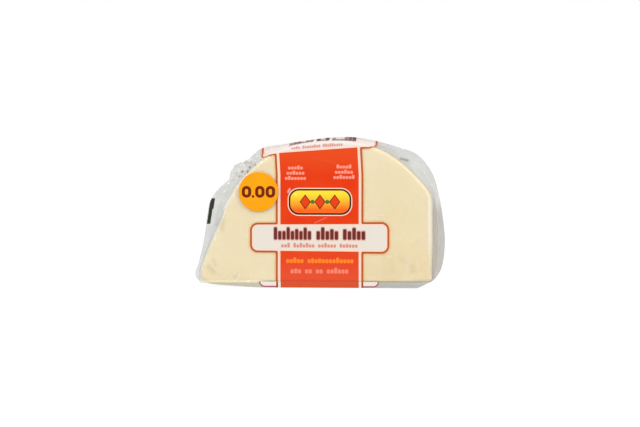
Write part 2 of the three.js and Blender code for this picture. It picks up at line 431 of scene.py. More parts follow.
def make_film():
    front = Sheet(-1, FRONT_SHARES)
    back = Sheet(1, BACK_SHARES)
    depth = HALF_DEPTH - FILM_INSET
    piece = lofted("film", front.rings + back.rings[::-1], (HUB[0], MID_Y - depth, HUB[1]),
                   (HUB[0], MID_Y + depth, HUB[1]))
    margin = np.concatenate([[0]] + front.margins + back.margins[::-1] + [[0]])
    rounds = len(front.rings) + len(back.rings)
    station = np.concatenate([[0], np.tile(front.station, rounds), [0]])
    width = np.concatenate([[0], np.tile(front.width, rounds), [0]])

    places = places_of(piece.data)
    x, y, z = places.T
    on_front = smoothstep(MID_Y - y, depth - 1.0, depth)
    above = smoothstep(z, *CALM_BASE)
    lift = on_front * sum(ridge(x, z, crease) for crease in CREASES)
    lift += above * FACE_WAVE * noise_at(places, FACE_WAVE_SCALE, 3)
    slope = 4 * margin * (1 - margin)
    pleats = noise_at(np.column_stack([station / PLEAT_WIDTH, margin * 1.3, np.sign(y - MID_Y)]), 1.0, 11)
    away = np.hypot(x - GATHER_CENTRE[0], z - GATHER_CENTRE[1]) / GATHER_REACH
    height = PLEAT_HEIGHT + GATHER_PLEATS * np.exp(-((away / 2) ** 2))
    lift += above * height * slope * pleats * np.minimum(width / PLEAT_FULL, 1)
    room = FILM_INSET - RELIEF_SPARE + MARGIN_ROOM * slope * width
    places += normals_of(piece.data) * np.minimum(lift, room)[:, None]
    places[:, 2] += base_height(x) * (1 - smoothstep(z, *BASE_LIFT_FADE))

    waves = noise_at(np.column_stack([station, 0 * x, 0 * x]), MARGIN_SWAY_SCALE, 17)
    places[:, 1] += above * MARGIN_SWAY * margin * waves
    gather = np.exp(-(away ** 2))
    crush = gather * smoothstep(margin, *CRUSH_MARGIN)
    noise.seed_set(CRUSH_SEED)
    for i in np.flatnonzero(crush > CRUSH_LEAST):
        places[i, 1] += crush[i] * crushed(x[i], z[i])
        shift = noise.noise_vector(Vector((x[i] * CRUSH_SHIFT_SCALE, 4, z[i] * CRUSH_SHIFT_SCALE)))
        places[i, 0] += crush[i] * CRUSH_SHIFT * shift.x
        places[i, 2] += crush[i] * CRUSH_SHIFT * shift.z
    places[:, 2] = np.maximum(places[:, 2], FILM_LIFT)
    move_to(piece.data, places)
    return piece


# ---------------------------------------------------------------- sticker

STICKER_THICKNESS = 0.22
STICKER_SIDES = 128
STICKER_BEND = 1.0
STICKER_SHY = 0.02  # how far the sticker lies inside its solid
STICKER_SHARES = (0.3, 0.6, 0.8, 0.9, 0.96, 1.0)  # rings of its front, from the middle
STICKER_BACK_SHARES = (1.0, 0.9, 0.6, 0.3)


def edge_drop(x, z, outline):
    """How far the film's rounded edge has dropped behind the flat face."""
    along = np.roll(outline, -1, axis=0) - outline
    share = (x - outline[:, 0]) * along[:, 0] + (z - outline[:, 1]) * along[:, 1]
    near = outline + along * np.clip(share / (along ** 2).sum(axis=1), 0, 1)[:, None]
    out = max(0.0, EDGE_RADIUS - np.min(np.hypot(x - near[:, 0], z - near[:, 1])))
    return min(STICKER_BEND, EDGE_RADIUS - math.sqrt(EDGE_RADIUS ** 2 - out ** 2))


def make_sticker():
    outer_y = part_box("price_sticker")[0].y / MM + STICKER_SHY
    outline = even(face_outline(), 400)
    rings = []
    levels = [(share, 0.0) for share in STICKER_SHARES]
    levels += [(share, STICKER_THICKNESS) for share in STICKER_BACK_SHARES]
    angles = np.linspace(0, 2 * math.pi, STICKER_SIDES, endpoint=False)
    for share, under in levels:
        x = STICKER_CENTRE[0] + STICKER_RADIUS * share * np.cos(angles)
        z = STICKER_CENTRE[1] + STICKER_RADIUS * share * np.sin(angles)
        drop = np.array([edge_drop(a, b, outline) for a, b in zip(x, z)])
        rings.append(np.column_stack([x, outer_y + drop + under, z]))
    middle = (STICKER_CENTRE[0], outer_y, STICKER_CENTRE[1])
    back_middle = (STICKER_CENTRE[0], outer_y + STICKER_THICKNESS, STICKER_CENTRE[1])
    return lofted("price_label", rings, middle, back_middle)


# ---------------------------------------------------------------- shader maths

class Field:
    """A number that varies over the surface. Its sums and products are math nodes."""

    def __init__(self, tree, socket):
        self.tree = tree
        self.socket = socket

    def math(self, operation, *others, clamp=False):
        node = self.tree.nodes.new("ShaderNodeMath")
        node.operation = operation
        node.use_clamp = clamp
        for socket, value in zip(node.inputs, (self,) + others):
            if isinstance(value, Field):
                self.tree.links.new(value.socket, socket)
            else:
                socket.default_value = value
        return Field(self.tree, node.outputs[0])

    def __add__(self, other):
        return self.math("ADD", other)

    def __sub__(self, other):
        return self.math("SUBTRACT", other)

    def __mul__(self, other):
        return self.math("MULTIPLY", other)

    def __neg__(self):
        return self.math("MULTIPLY", -1.0)

    def abs(self):
        return self.math("ABSOLUTE")

    def floor(self):
        return self.math("FLOOR")

    def fract(self):
        return self.math("FRACT")

    def max(self, other):
        return self.math("MAXIMUM", other)

    def min(self, other):
        return self.math("MINIMUM", other)

    def length(self, other):
        return (self * self + other * other).math("SQRT")

    def inside(self, soft=0.06):
        """1 where this distance is negative and 0 where it is positive, with a soft edge."""
        return (self * (-1.0 / soft)).math("ADD", 0.5, clamp=True)

    def ramp(self, low, high):
        """0 at low and 1 at high, and level beyond them."""
        return ((self - low) * (1.0 / (high - low))).math("ADD", 0.0, clamp=True)

    def rest(self):
        """1 where this is 0, and 0 where it is 1."""
        return -self + 1.0


def box_distance(x, z, centre, half, corner=0.0):
    across = (x - centre[0]).abs() - (half[0] - corner)
    up = (z - centre[1]).abs() - (half[1] - corner)
    outer = across.max(0.0).length(up.max(0.0))
    return outer + across.max(up).min(0.0) - corner


def disc_distance(x, z, centre, radius):
    return (x - centre[0]).length(z - centre[1]) - radius


def diamond_distance(x, z, centre, half):
    return ((x - centre[0]).abs() * (half[1] / half[0]) + (z - centre[1]).abs() - half[1]) * 0.7


def streak_distance(x, z, start, end):
    """Distance to the straight line between two points."""
    along = (end[0] - start[0], end[1] - start[1])
    share = (x - start[0]) * along[0] + (z - start[1]) * along[1]
    share = share.ramp(0.0, along[0] ** 2 + along[1] ** 2)
    return (x - start[0] - share * along[0]).length(z - start[1] - share * along[1])


class Material:
    """A node material under construction."""

    def __init__(self, name):
        self.data = bpy.data.materials.new(name)
        self.data.use_nodes = True
        self.tree = self.data.node_tree
        self.tree.nodes.clear()
        self.output = self.new("ShaderNodeOutputMaterial")
        self.place = self.new("ShaderNodeTexCoord").outputs["Object"]

    def new(self, kind):
        return self.tree.nodes.new(kind)

    def link(self, source, target):
        self.tree.links.new(source.socket if isinstance(source, Field) else source, target)

    def axes(self):
        """x, y and z in millimetres."""
        split = self.new("ShaderNodeSeparateXYZ")
        self.link(self.place, split.inputs[0])
        return [Field(self.tree, split.outputs[k]) * (1 / MM) for k in range(3)]

    def noise(self, scale, detail=2.0, roughness=0.5):
        """A noise between about 0 and 1, with scale in features to a millimetre."""
        node = self.new("ShaderNodeTexNoise")
        node.inputs["Scale"].default_value = scale / MM
        node.inputs["Detail"].default_value = detail
        node.inputs["Roughness"].default_value = roughness
        self.link(self.place, node.inputs["Vector"])
        return Field(self.tree, node.outputs["Fac"])

    def facets(self, scale):
        """Distance to the nearest border between uneven cells, from 0 to about 0.5."""
        node = self.new("ShaderNodeTexVoronoi")
        node.feature = "DISTANCE_TO_EDGE"
        node.inputs["Scale"].default_value = scale / MM
        self.link(self.place, node.inputs["Vector"])
        return Field(self.tree, node.outputs["Distance"])

    def random(self, field):
        node = self.new("ShaderNodeTexWhiteNoise")
        node.noise_dimensions = "1D"
        self.link(field, node.inputs["W"])
        return Field(self.tree, node.outputs["Value"])

    def mix(self, share, below, above):
        """A colour socket: below where share is 0 and above where it is 1."""
        node = self.new("ShaderNodeMix")
        node.data_type = "RGBA"
        self.link(share, node.inputs[0])
        for value, socket in ((below, node.inputs[6]), (above, node.inputs[7])):
            if isinstance(value, tuple):
                socket.default_value = value
            else:
                self.link(value, socket)
        return node.outputs[2]

    def blend(self, share, below, above):
        """A shader: below where share is 0 and above where it is 1."""
        node = self.new("ShaderNodeMixShader")
        self.link(share, node.inputs[0])
        self.link(below.outputs[0], node.inputs[1])
        self.link(above.outputs[0], node.inputs[2])
        return node

    def bump(self, height, strength, distance):
        node = self.new("ShaderNodeBump")
        node.inputs["Strength"].default_value = strength
        node.inputs["Distance"].default_value = distance * MM
        self.link(height, node.inputs["Height"])
        return node.outputs[0]

    def shader(self, kind, normal=None, **sockets):
        """A shader node with its sockets set or linked by name, where _ stands for a space."""
        node = self.new(kind)
        for name, value in sockets.items():
            socket = node.inputs[name.replace("_", " ")]
            if isinstance(value, (tuple, float)):
                socket.default_value = value
            else:
                self.link(value, socket)
        if normal:
            self.link(normal, node.inputs["Normal"])
        return node

    def finish(self, shader):
        self.link(shader.outputs[0], self.output.inputs["Surface"])
        return self.data


def colour(red, green, blue):
    """A linear colour from display values of 0 to 255."""
    def linear(value):
        value /= 255
        return value / 12.92 if value <= 0.04045 else ((value + 0.055) / 1.055) ** 2.4
    return (linear(red), linear(green), linear(blue), 1.0)


# ---------------------------------------------------------------- cheese material

CREAM = colour(225, 212, 177)
BUTTER = colour(221, 204, 163)
STRAW = colour(218, 197, 148)
CURD = colour(231, 221, 193)


def cheese_material():
    m = Material("cheese")
    x, _, z = m.axes()
    body = m.mix(m.noise(0.022, 3).ramp(0.35, 0.65), CREAM, BUTTER)
    # Darker and warmer towards the lower right of the face: painted shade of the light from above.
    lower_shade = (z * -0.012 + x * 0.004).ramp(-0.75, 0.15) * (m.noise(0.05, 2).ramp(0.3, 0.6) * 0.5 + 0.3)
    body = m.mix(lower_shade, body, STRAW)
    body = m.mix(m.noise(0.35, 4, 0.6).ramp(0.35, 0.75) * 0.3, body, CURD)
    relief = m.bump(m.noise(0.5, 3) * 0.5 + m.noise(2.5) * 0.2, strength=0.35, distance=0.25)
    return m.finish(m.shader(
        "ShaderNodeBsdfPrincipled", relief, Base_Color=body, Roughness=0.45, IOR=1.45,
        Subsurface_Weight=0.15, Subsurface_Radius=(0.006, 0.004, 0.002), Subsurface_Scale=0.3))


# ---------------------------------------------------------------- print

# The band printed down the front, over the top and under the base: places in x and unrolled height.
BAND_X = 0.87
BAND_HALF = 21.9
BAND_LEAN = 0.055  # how far the band leans to the left with unrolled height, between the next two heights
BAND_LEAN_Z = 57.0
BAND_LEAN_END = 75.0
UNROLL_Z = (34.0, 36.0)  # heights over which depth begins to count as height
UNROLL_X = (29.0, 17.0)  # distances from the band over which it comes to count in full
UNROLL_LEAST = 0.2
RED_HALF = 19.65
RED_GAP = 0.9  # how far the red reaches over the outline of the panels
LINE = 0.95
BLEED = 0.6
FILLET = 1.2  # softness of the inner corners between the band and its panels
MAIN_PANEL = ((0.87, 25.25), (34.9, 7.65), 3.9)
MAIN_PANEL_SPREAD = 0.001  # share by which the panel is higher for each millimetre to the right
TOP_SLOPE = 0.071
TOP_WORDS_SLOPE = 0.07
TOP_WORDS_MIDDLE = 2.0
TOP_WORDS_BOW = 0.01  # how much the top line of words curves
TOP_PANEL = ((0.1, 81.2), (29.3, 13.0), 1.6)
TOP_PANEL_RIGHT = ((-19.9, 81.2), (49.3, 13.0), 4.5)  # its right corners are rounder
FOLD_Z = 3.16
FOOT_PANEL = ((0.5, 3.3), (30.1, 3.0), 2.8)
FOOT_LINE = 0.65
INFO_PANEL = ((0.5, 51.0), (16.0, 11.0), 1.5)
HALO_REACH = 1.2
HALO_SHARE = 0.4
RED_SHADE_INSET = 0.3  # a thin darker line this far inside the red
FOOT_RED_Z = (22.0, 6.0)  # heights over which the red turns duller towards the base
TOP_RED_Z = (56.0, 66.0)
TOP_Z = (66.0, 69.0)
TOP_BORDER_START = 4.0  # how far beyond the band the border of the top panel has its own colour

# The dark mark at the left edge of the seal: centre and half size of its two parts.
MARKS = (
    ((-54.75, 41.9), (1.15, 2.7)),
    ((-55.95, 35.5), (0.9, 3.9)),
)
MARK_LEAN = 0.16

# The badge with its diamonds and dots. Places count from the middle of the badge.
BADGE = ((1.1, 43.2), (15.4, 6.2), 4.9)
BADGE_HALO = 0.8  # how far the white reaches over the outline
BADGE_RIM = 0.3
BADGE_FILL = 0.55
BADGE_FADE = 4
GEM_PLACES = (-7.4, 0.0, 7.4)
GEM_HALF = (2.8, 3.8)
GEM_RIM = 0.45
DOT_PLACES = (-3.7, 3.7)
DOT_RADIUS = 1.05

RED = colour(206, 57, 10)
DEEP_RED = colour(204, 46, 2)
FOOT_RED = colour(205, 69, 38)
TOP_RED = colour(208, 64, 18)
FOLDED_RED = colour(225, 86, 46)
BORDER = colour(162, 78, 34)
FOOT_BORDER = colour(176, 84, 96)
TOP_BORDER = colour(154, 90, 96)
WHITE = colour(231, 190, 172)
PANEL = colour(206, 199, 188)
TOP_FILL = colour(208, 200, 195)
FOOT_FILL = colour(243, 236, 228)
MAROON = colour(98, 36, 34)
ROSE = colour(196, 112, 96)
AMBER = colour(240, 136, 32)
PINK = colour(232, 156, 134)
DARK = colour(30, 18, 16)
YELLOW = colour(240, 200, 48)
ORANGE = colour(226, 92, 20)
GREEN = colour(54, 112, 48)
HALO = colour(240, 176, 108)
MARK = colour(44, 52, 46)
INFO = colour(88, 74, 70)

# Rows of blocks in place of the printed lines.
WORD_SOFT = 0.3
LARGE_WORDS = ((-12.7, 9.6, 9, 3.0), (4.8, 5.7, 5, 5.0), (18.2, 5.8, 5, 8.0))  # x, half width, blocks, seed
LARGE_WORDS_Z = 27.35
LARGE_WORDS_HALF = 3.2
SMALL_ROWS = (  # centre, half size, blocks, seed, gaps, colour and strength
    ((0.78, 21.45), (19.3, 1.2), 25, 11.0, (3, 11, 18), ROSE, 0.85),
    ((1.0, 13.9), (17.0, 1.4), 19, 23.0, (5,), AMBER, 0.7),
    ((0.8, 8.8), (14.6, 1.5), 16, 31.0, (3, 6, 9), PINK, 0.45),
)
SIDE_ROWS = ((-11.2, 60.4, 40.0), (13.1, 60.9, 50.0))  # x, height of the first of three rows, seed
SIDE_ROW_PITCH = 2.6
SIDE_ROW_HALF = (3.8, 1.0)
SIDE_ROW_WIDER = 0.8  # how much wider each row is than the one above it
TOP_ROW = ((-0.4, 71.3), (13.0, 0.9))
TOP_WORDS = ((-9.0, 6.2, 6, 70.0), (2.0, 3.3, 3, 75.0), (12.7, 6.1, 6, 81.0))  # as LARGE_WORDS
TOP_WORDS_Z = 81.6
TOP_WORDS_HALF = 6.4
INFO_ROWS = 7
INFO_ROW_FIRST = 8.4  # how far the first row is above the middle of its panel
INFO_ROW_PITCH = 2.8
INFO_ROW_HALF = (13.6, 0.7)
BACK_ROW = ((BAND_X, 24.95), (24.0, 1.6))

# A block's half width and corner as shares of its pitch, and its height and corner as shares of the row's.
BLOCK_HALF = 0.43
BLOCK_CORNER = 0.34
BLOCK_CORNER_HIGH = 0.5
BLOCK_LOW = 0.7


def word_row(m, x, z, centre, half, count, seed, gaps=()):
    """Distance to a row of small rounded blocks on one base line, which stands in for a printed line.

    Every third block or so is taller, and gaps are the numbers of the blocks that are left out."""
    pitch = 2 * half[0] / count
    cell = (x - (centre[0] - half[0])) * (1 / pitch)
    aside = (cell.fract() - 0.5) * pitch
    tall = m.random(cell.floor() + seed).ramp(0.6, 0.7)
    high = (tall * (1 - BLOCK_LOW) + BLOCK_LOW) * half[1]
    lifted = z - (high + (centre[1] - half[1]))
    corner = min(BLOCK_CORNER * pitch, BLOCK_CORNER_HIGH * half[1])
    across = aside.abs() - (BLOCK_HALF * pitch - corner)
    up = lifted.abs() - (high - corner)
    blocks = across.max(0.0).length(up.max(0.0)) + across.max(up).min(0.0) - corner
    blocks = blocks.max(((x - centre[0]).abs() - half[0]) * 4.0)
    for gap in gaps:
        gap_x = centre[0] - half[0] + (gap + 0.5) * pitch
        blocks = blocks.max((x - gap_x).abs() * -1.0 + 0.5 * pitch)
    return blocks


class Ink:
    """The colours of the print, laid down one over the other."""

    def __init__(self, m, first):
        self.m = m
        self.colour = first

    def lay(self, where, colour):
        self.colour = self.m.mix(where, self.colour, colour)


def front_words(ink, m, x, z, unrolled, on_front):
    """Rows of blocks in the colours and sizes of the printed lines of the front."""
    for centre, half, count, seed in LARGE_WORDS:
        text = word_row(m, x, z, (centre, LARGE_WORDS_Z), (half, LARGE_WORDS_HALF), count, seed)
        ink.lay((text - 0.35).inside(0.5) * on_front * 0.7, ROSE)
        ink.lay((text + 0.1).inside(WORD_SOFT) * on_front, MAROON)
    for centre, half, count, seed, gaps, hue, share in SMALL_ROWS:
        text = word_row(m, x, z, centre, half, count, seed, gaps)
        ink.lay(text.inside(WORD_SOFT) * on_front * share, hue)
    for row in range(3):
        half = (SIDE_ROW_HALF[0] + SIDE_ROW_WIDER * row, SIDE_ROW_HALF[1])
        for centre, height, seed in SIDE_ROWS:
            text = word_row(m, x, z, (centre, height - SIDE_ROW_PITCH * row), half, 5 + row, seed + row)
            ink.lay(text.inside(WORD_SOFT) * on_front * 0.7, PINK)
    text = word_row(m, x, unrolled - (x - BAND_X) * TOP_SLOPE, *TOP_ROW, 23, 60.0, gaps=(4, 13))
    ink.lay(text.inside(WORD_SOFT) * on_front * 0.8, ROSE)
    bow = x - TOP_WORDS_MIDDLE
    edge_row = unrolled - (x - BAND_X) * TOP_WORDS_SLOPE - bow * bow * TOP_WORDS_BOW
    for centre, half, count, seed in TOP_WORDS:
        text = word_row(m, x, edge_row, (centre, TOP_WORDS_Z), (half, TOP_WORDS_HALF), count, seed)
        ink.lay((text - 0.1).inside(WORD_SOFT) * on_front * 0.9, MAROON)


def emblem(ink, m, x, z, on_front):
    """A plain badge with three diamonds and two dots."""
    badge = box_distance(x, z, *BADGE)
    (middle_x, middle_z), _, _ = BADGE
    ink.lay((badge - BADGE_HALO).inside() * on_front, WHITE)
    ink.lay((badge - BADGE_RIM).inside() * on_front, DARK)
    fill = m.mix(z.ramp(middle_z - BADGE_FADE, middle_z + BADGE_FADE), ORANGE, YELLOW)
    ink.lay((badge + BADGE_FILL).inside() * on_front, fill)
    for place in GEM_PLACES:
        gem = diamond_distance(x, z, (middle_x + place, middle_z), GEM_HALF)
        ink.lay(gem.inside() * on_front, DARK)
        ink.lay((gem + GEM_RIM).inside() * on_front, RED)
    for place in DOT_PLACES:
        dot = disc_distance(x, z, (middle_x + place, middle_z), DOT_RADIUS)
        ink.lay(dot.inside() * on_front, GREEN)


def back_words(ink, m, x, z, on_back):
    """A plain panel of small rows on the back, and one row in the panel below it."""
    info = box_distance(x, z, *INFO_PANEL)
    ink.lay(info.inside() * on_back, TOP_FILL)
    for row in range(INFO_ROWS):
        height = INFO_PANEL[0][1] + INFO_ROW_FIRST - INFO_ROW_PITCH * row
        gaps = (4 + 2 * row % 9, 15 + row % 3)
        text = word_row(m, x, z, (BAND_X, height), INFO_ROW_HALF, 23, 80.0 + row, gaps)
        ink.lay(text.inside() * on_back * 0.85, INFO)
    text = word_row(m, x, z, *BACK_ROW, 24, 95.0, gaps=(6, 15))
    ink.lay(text.inside() * on_back * 0.9, MAROON)


def band_print(m, x, z, depth, on_front):
    """The ink's colour, and where there is ink."""
    near_band = (x - BAND_X).abs().ramp(*UNROLL_X) * (1 - UNROLL_LEAST) + UNROLL_LEAST
    unrolled = z + depth * z.ramp(*UNROLL_Z) * near_band
    tilted = unrolled - (x - BAND_X) * TOP_SLOPE
    (_, main_z), _, _ = MAIN_PANEL
    spread = (z - main_z) * (x * -MAIN_PANEL_SPREAD + 1.0) + main_z
    main = box_distance(x, spread, *MAIN_PANEL)
    top = box_distance(x, tilted, *TOP_PANEL).max(box_distance(x, tilted, *TOP_PANEL_RIGHT))
    panels = main.min(top)
    lean = (unrolled.min(BAND_LEAN_END) - BAND_LEAN_Z).max(0.0) * BAND_LEAN * on_front
    across = (x - BAND_X + lean).abs()
    printed = panels.math("SMOOTH_MIN", across - BAND_HALF, FILLET)
    red_part = (across - RED_HALF).max(-panels - RED_GAP)
    red = m.mix(m.noise(0.06, 3).ramp(0.35, 0.65), RED, DEEP_RED)
    red = m.mix(z.ramp(*FOOT_RED_Z), red, FOOT_RED)
    red = m.mix(z.ramp(*TOP_RED_Z), red, TOP_RED)
    top_border = z.ramp(*TOP_Z) * (across - BAND_HALF).ramp(0.0, TOP_BORDER_START)
    border = m.mix(top_border, BORDER, TOP_BORDER)
    fill = m.mix(z.ramp(*TOP_Z), PANEL, TOP_FILL)

    ink = Ink(m, m.mix(printed.inside(), HALO, border))
    ink.lay((printed + LINE).inside(), WHITE)
    ink.lay((panels + LINE + BLEED).inside(), fill)
    ink.lay(red_part.inside(), red)
    ink.lay((red_part + RED_SHADE_INSET).abs().ramp(0.4, 0.1) * 0.35, BORDER)
    front_words(ink, m, x, z, unrolled, on_front)
    emblem(ink, m, x, z, on_front)
    back_words(ink, m, x, z, on_front.rest())

    foot = box_distance(x, z, *FOOT_PANEL)
    strip = (z - FOLD_Z).inside(0.3)
    ink.lay(foot.inside() * strip, FOOT_BORDER)
    ink.lay((foot + FOOT_LINE).inside() * strip, FOOT_FILL)
    ink.lay((across - BAND_HALF).inside() * strip, BORDER)
    ink.lay((across - BAND_HALF + LINE).inside() * strip, FOOT_FILL)
    ink.lay((across - RED_HALF).inside() * strip, FOLDED_RED)
    # A darker line along the fold across the red: painted shade in the fold.
    ink.lay((z - FOLD_Z).abs().ramp(0.35, 0.1) * (across - RED_HALF).inside() * 0.35, DARK)

    mark = None
    for (mark_x, mark_z), (half_x, half_z) in MARKS:
        leaning_x = x - (z - mark_z) * MARK_LEAN - mark_x
        patch = (leaning_x.abs() - half_x).max((z - mark_z).abs() - half_z)
        mark = mark.min(patch) if mark else patch
    mark = mark.inside()
    ink.lay(mark, MARK)
    cover = printed.inside().max(foot.inside() * strip).max(mark)
    return ink.colour, cover.max(printed.ramp(HALO_REACH, 0.0) * HALO_SHARE)


# ---------------------------------------------------------------- film material

FACE_TINT = (0.97, 0.97, 0.965, 1.0)
MARGIN_TINT = (0.865, 0.87, 0.86, 1.0)
# Darker tint of the margin on the right: painted shade.
RIGHT_SHADE_TINT = (0.74, 0.73, 0.70, 1.0)
SHADE_TINT = (0.73, 0.69, 0.64, 1.0)
HAZE = (0.52, 0.52, 0.50, 1.0)
SHADE_HAZE = (0.55, 0.50, 0.44, 1.0)
# Grey of the strip under the fold: film haze, with painted shade where the strip faces down; paler and
# yellower on the left.
STRIP_HAZE_AND_SHADE = (0.62, 0.63, 0.61, 1.0)
STRIP_HAZE_AND_SHADE_LEFT = (0.73, 0.73, 0.63, 1.0)
STRIP_DROP = 1.2  # how much lower the strip under the fold begins on the left
# Cheese-coloured haze that brightens the lower rounded edge on the left: painted light over its shade.
PAINTED_FOOT_LIGHT = (1.0, 0.90, 0.64, 1.0)
# Near-black haze of the painted shade in the folds and hollows of the film.
FOLD_SHADE = (0.08, 0.08, 0.07, 1.0)
# Pale haze of the painted highlight along the rounded edges of the face.
RIM_HIGHLIGHT = (0.88, 0.84, 0.72, 1.0)
CRUSH_HAZE = (0.70, 0.69, 0.66, 1.0)
# Colours of the painted highlight on the crease ridges and of the painted shade in the crease hollows.
RIDGE_HIGHLIGHT = (0.86, 0.85, 0.76, 1.0)
HOLLOW_SHADE = (0.50, 0.41, 0.20, 1.0)
# The painted shade of the short fold at the upper right, with its tail and foot.
PINCHES = (  # the short dark fold at the upper right with its tail and foot: ends, where it fades, strength
    ((41.3, 64.8), (44.5, 63.9), (1.5, 0.2), 0.8),
    ((36.4, 67.6), (41.5, 64.6), (1.4, 0.0), 0.35),
    ((43.4, 63.2), (48.2, 58.2), (1.3, 0.0), 0.28),
)
# The deepest hollows of the crumple are painted dark as shade.
GATHER_SPOTS = (  # x, z and radius of the deepest hollows of the crumple
    (-34.8, 60.3, 0.6), (-35.6, 58.4, 0.7), (-38.8, 58.2, 0.6), (-40.2, 55.8, 0.5), (-31.9, 61.8, 0.6),
)
# Painted highlights on the brightest ridges of the crumple.
GATHER_HIGHLIGHTS = (  # both ends of the brightest ridges of the crumple
    ((-30.9, 64.4), (-29.5, 65.8)), ((-37.6, 59.6), (-34.6, 59.8)),
    ((-40.0, 56.4), (-38.4, 57.0)), ((-45.0, 53.4), (-42.6, 54.6)),
)

# Where the looks of the film change. Depth counts from the flat front face, or from the back one behind.
MARGIN_START = 0.1  # depth from which the film takes the looks of the margin
MARGIN_START_RIGHT = 1.5  # how much deeper that is at the right
MARGIN_FADE = 2.4
LEFT_END = (-22.0, -30.0)  # x over which the looks of the left end set in
STRIP_Z = (3.3, 2.9)
FOOT_Z = (5.0, 3.2)
FOOT_DEPTH = (6.0, 3.0)
LEFT_RIM_X = (-20.0, -30.0)
LEFT_RIM_Z = (16.0, 26.0)
RIGHT_RIM_X = (54.2, 55.8)
RIGHT_RIM_LOW = (8.0, 24.0)
RIGHT_RIM_HIGH = (50.0, 42.0)
RIGHT_X = (54.0, 58.0)
RIGHT_Z = (46.0, 36.0)
SIDE_X = (55.5, 57.5)
SIDE_Z = (48.0, 38.0)
SIDE_DEPTH = (2.0, 5.0)
SIDE_DEPTH_END = (11.5, 8.0)


CREASE_REACH = 1.4  # how far the mark of a crease reaches, in its half widths
CREASE_STRENGTH = 2.4  # strength of the mark for each millimetre of height


def strongest(fields):
    total = fields[0]
    for field in fields[1:]:
        total = total.max(field)
    return total


def crease_marks(x, z, sign):
    """How strongly the painted highlight on the ridges (sign 1) or the painted shade in the hollows (sign -1)
    of the creases shows.
    """
    marks = []
    for x0, z0, x1, z1, height, width in CREASES:
        if height * sign > 0:
            streak = streak_distance(x, z, (x0, z0), (x1, z1))
            marks.append(streak.ramp(CREASE_REACH * width, 0.0) * (abs(height) * CREASE_STRENGTH))
    return strongest(marks)


